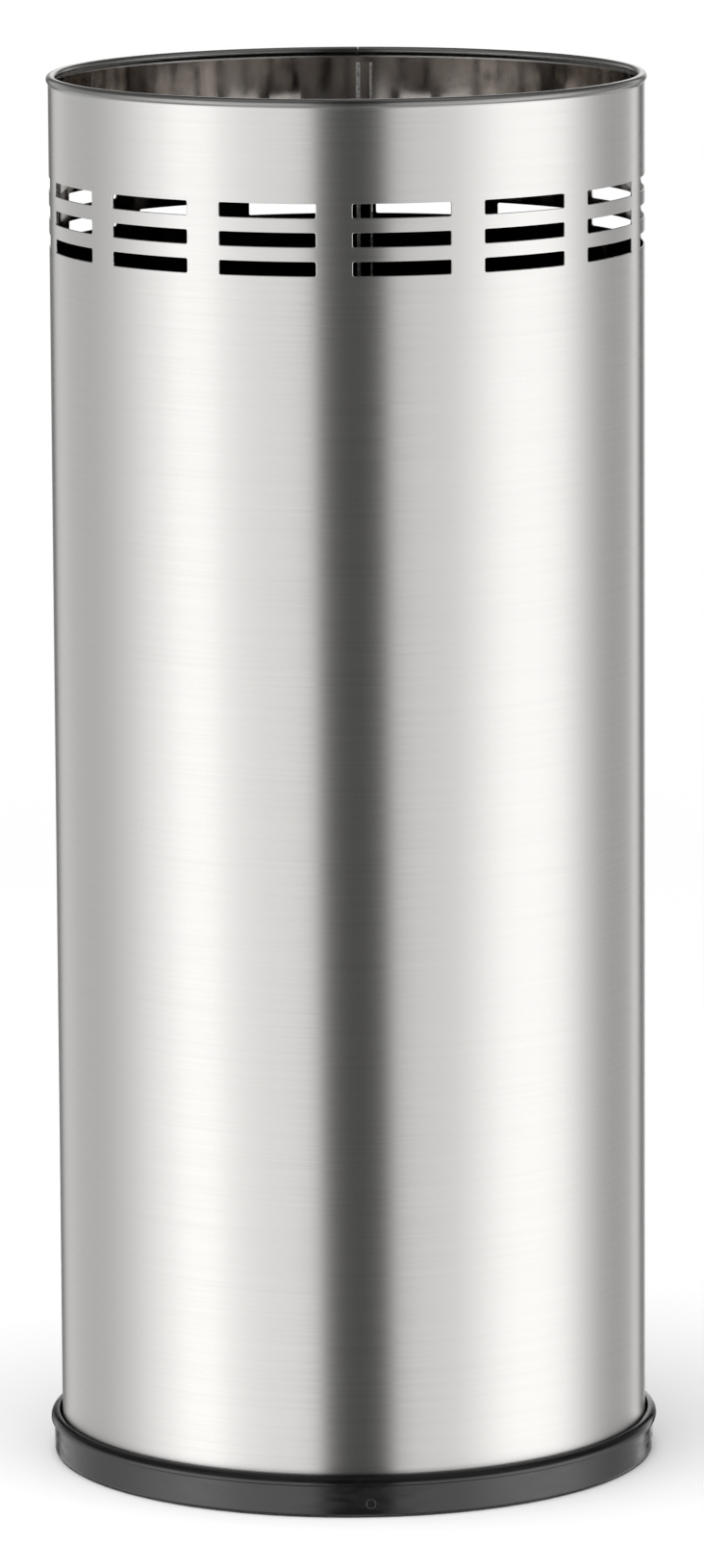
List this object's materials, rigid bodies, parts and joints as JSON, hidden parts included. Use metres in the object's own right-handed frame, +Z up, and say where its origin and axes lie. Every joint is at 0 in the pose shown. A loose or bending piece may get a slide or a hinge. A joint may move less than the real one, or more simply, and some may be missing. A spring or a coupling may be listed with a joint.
{
  "type": "umbrella stand",
  "caption": "Round umbrella stand: slotted brushed steel tube with a rolled rim on a black plastic base ring, with a lift-out drip tray.",
  "frame": {"origin": "on the floor, under the tube's axis", "axes": "+Z up along the tube; -Y is the front, where a post between two slot columns stands; the lock seam is at +Y"},
  "size_m": [0.2156, 0.2154, 0.49],
  "materials": {
    "shell_steel": "brushed round the tube outside, bright inside",
    "wire_steel": "drawn wire",
    "plate_steel": "bare pressed sheet",
    "ring_plastic": "satin black moulding",
    "tray_plastic": "fine-grained black moulding",
    "pad_rubber": "matt"
  },
  "bodies": {
    "stand": {"body_shell": "shell_steel", "rim_wire": "wire_steel", "bottom_plate": "plate_steel", "base_ring": "ring_plastic", "foot_pad_1": "pad_rubber", "foot_pad_2": "pad_rubber", "foot_pad_3": "pad_rubber", "foot_pad_4": "pad_rubber"},
    "tray": {"drip_tray": "tray_plastic"}
  },
  "joints": [
    {"name": "tray_lift", "type": "slide", "parent": "stand", "child": "tray", "axis": [0, 0, 1], "range_m": [0, 0.5]}
  ]
}
